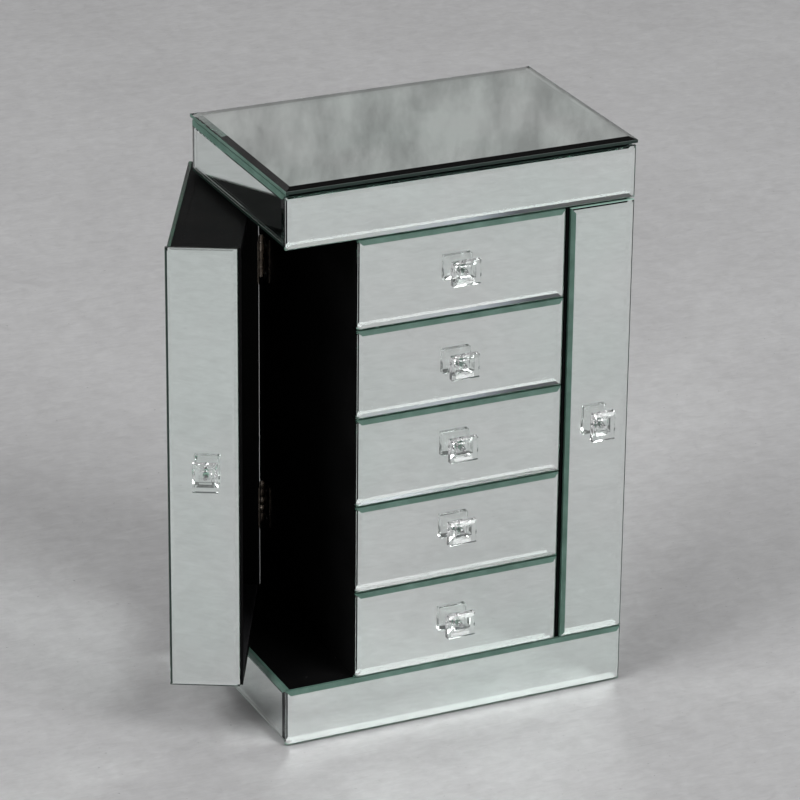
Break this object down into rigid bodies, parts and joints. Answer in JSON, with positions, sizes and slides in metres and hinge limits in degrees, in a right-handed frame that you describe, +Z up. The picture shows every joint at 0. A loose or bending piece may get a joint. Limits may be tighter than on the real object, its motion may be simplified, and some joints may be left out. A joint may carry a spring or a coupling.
{
  "type": "jewellery chest",
  "caption": "Mirrored jewellery chest: a stack of drawers between two box-shaped swing-out side doors, under a tray with a lift-up lid.",
  "frame": {"origin": "centre of the plinth's underside, on the felt that rests on the table", "axes": "+Z up, front with the drawers towards -Y, +X to the right seen from the front"},
  "size_m": [0.3297, 0.1994, 0.4138],
  "materials": {
    "mirror_glass": "bevelled, polished",
    "crystal": "cut and polished",
    "black_board": "black lacquer, low sheen",
    "velvet": "short pile",
    "felt": "felt",
    "hinge_brass": "satin",
    "hook_brass": "polished",
    "pin_steel": "turned",
    "screw_steel": "zinc plated"
  },
  "bodies": {
    "carcass": {"base_boards": "black_board", "base_felt": "felt", "base_mirror_front": "mirror_glass", "base_mirror_sides": "mirror_glass", "case_back": "black_board", "case_hinge_leaves": "hinge_brass", "case_sides": "black_board", "drawer_shelves": "black_board", "frieze_boards": "black_board", "frieze_mirror_front": "mirror_glass", "frieze_mirror_sides": "mirror_glass", "hinge_pins": "pin_steel", "ring_rolls": "velvet", "tray_insert": "velvet"},
    "drawer_1": {"drawer_1_box": "black_board", "drawer_1_knob": "crystal", "drawer_1_knob_screw": "screw_steel", "drawer_1_lining": "velvet", "drawer_1_mirror": "mirror_glass"},
    "drawer_2": {"drawer_2_box": "black_board", "drawer_2_knob": "crystal", "drawer_2_knob_screw": "screw_steel", "drawer_2_lining": "velvet", "drawer_2_mirror": "mirror_glass"},
    "drawer_3": {"drawer_3_box": "black_board", "drawer_3_knob": "crystal", "drawer_3_knob_screw": "screw_steel", "drawer_3_lining": "velvet", "drawer_3_mirror": "mirror_glass"},
    "drawer_4": {"drawer_4_box": "black_board", "drawer_4_knob": "crystal", "drawer_4_knob_screw": "screw_steel", "drawer_4_lining": "velvet", "drawer_4_mirror": "mirror_glass"},
    "drawer_5": {"drawer_5_box": "black_board", "drawer_5_knob": "crystal", "drawer_5_knob_screw": "screw_steel", "drawer_5_lining": "velvet", "drawer_5_mirror": "mirror_glass"},
    "left_door": {"left_door_box": "black_board", "left_door_hinge_leaves": "hinge_brass", "left_door_hooks": "hook_brass", "left_door_knob": "crystal", "left_door_knob_screw": "screw_steel", "left_door_lining": "velvet", "left_door_mirror_front": "mirror_glass", "left_door_mirror_side": "mirror_glass"},
    "right_door": {"right_door_box": "black_board", "right_door_hinge_leaves": "hinge_brass", "right_door_hooks": "hook_brass", "right_door_knob": "crystal", "right_door_knob_screw": "screw_steel", "right_door_lining": "velvet", "right_door_mirror_front": "mirror_glass", "right_door_mirror_side": "mirror_glass"},
    "lid": {"lid_board": "black_board", "lid_hinge_leaves": "hinge_brass", "lid_lining": "velvet", "lid_mirror": "mirror_glass"}
  },
  "joints": [
    {"name": "drawer_1_slide", "type": "slide", "parent": "carcass", "child": "drawer_1", "axis": [0, -1, 0], "range_m": [0, 0.12]},
    {"name": "drawer_2_slide", "type": "slide", "parent": "carcass", "child": "drawer_2", "axis": [0, -1, 0], "range_m": [0, 0.12]},
    {"name": "drawer_3_slide", "type": "slide", "parent": "carcass", "child": "drawer_3", "axis": [0, -1, 0], "range_m": [0, 0.12]},
    {"name": "drawer_4_slide", "type": "slide", "parent": "carcass", "child": "drawer_4", "axis": [0, -1, 0], "range_m": [0, 0.12]},
    {"name": "drawer_5_slide", "type": "slide", "parent": "carcass", "child": "drawer_5", "axis": [0, -1, 0], "range_m": [0, 0.12]},
    {"name": "left_door_hinge", "type": "hinge", "parent": "carcass", "child": "left_door", "pos_m": [-0.07825, 0.08265, 0.2046], "axis": [0, 0, -1], "range_deg": [-27, 68]},
    {"name": "right_door_hinge", "type": "hinge", "parent": "carcass", "child": "right_door", "pos_m": [0.07825, 0.08265, 0.2046], "axis": [0, 0, 1], "range_deg": [0, 95]},
    {"name": "lid_hinge", "type": "hinge", "parent": "carcass", "child": "lid", "pos_m": [0, 0.0814, 0.4058], "axis": [-1, 0, 0], "range_deg": [0, 95]}
  ]
}
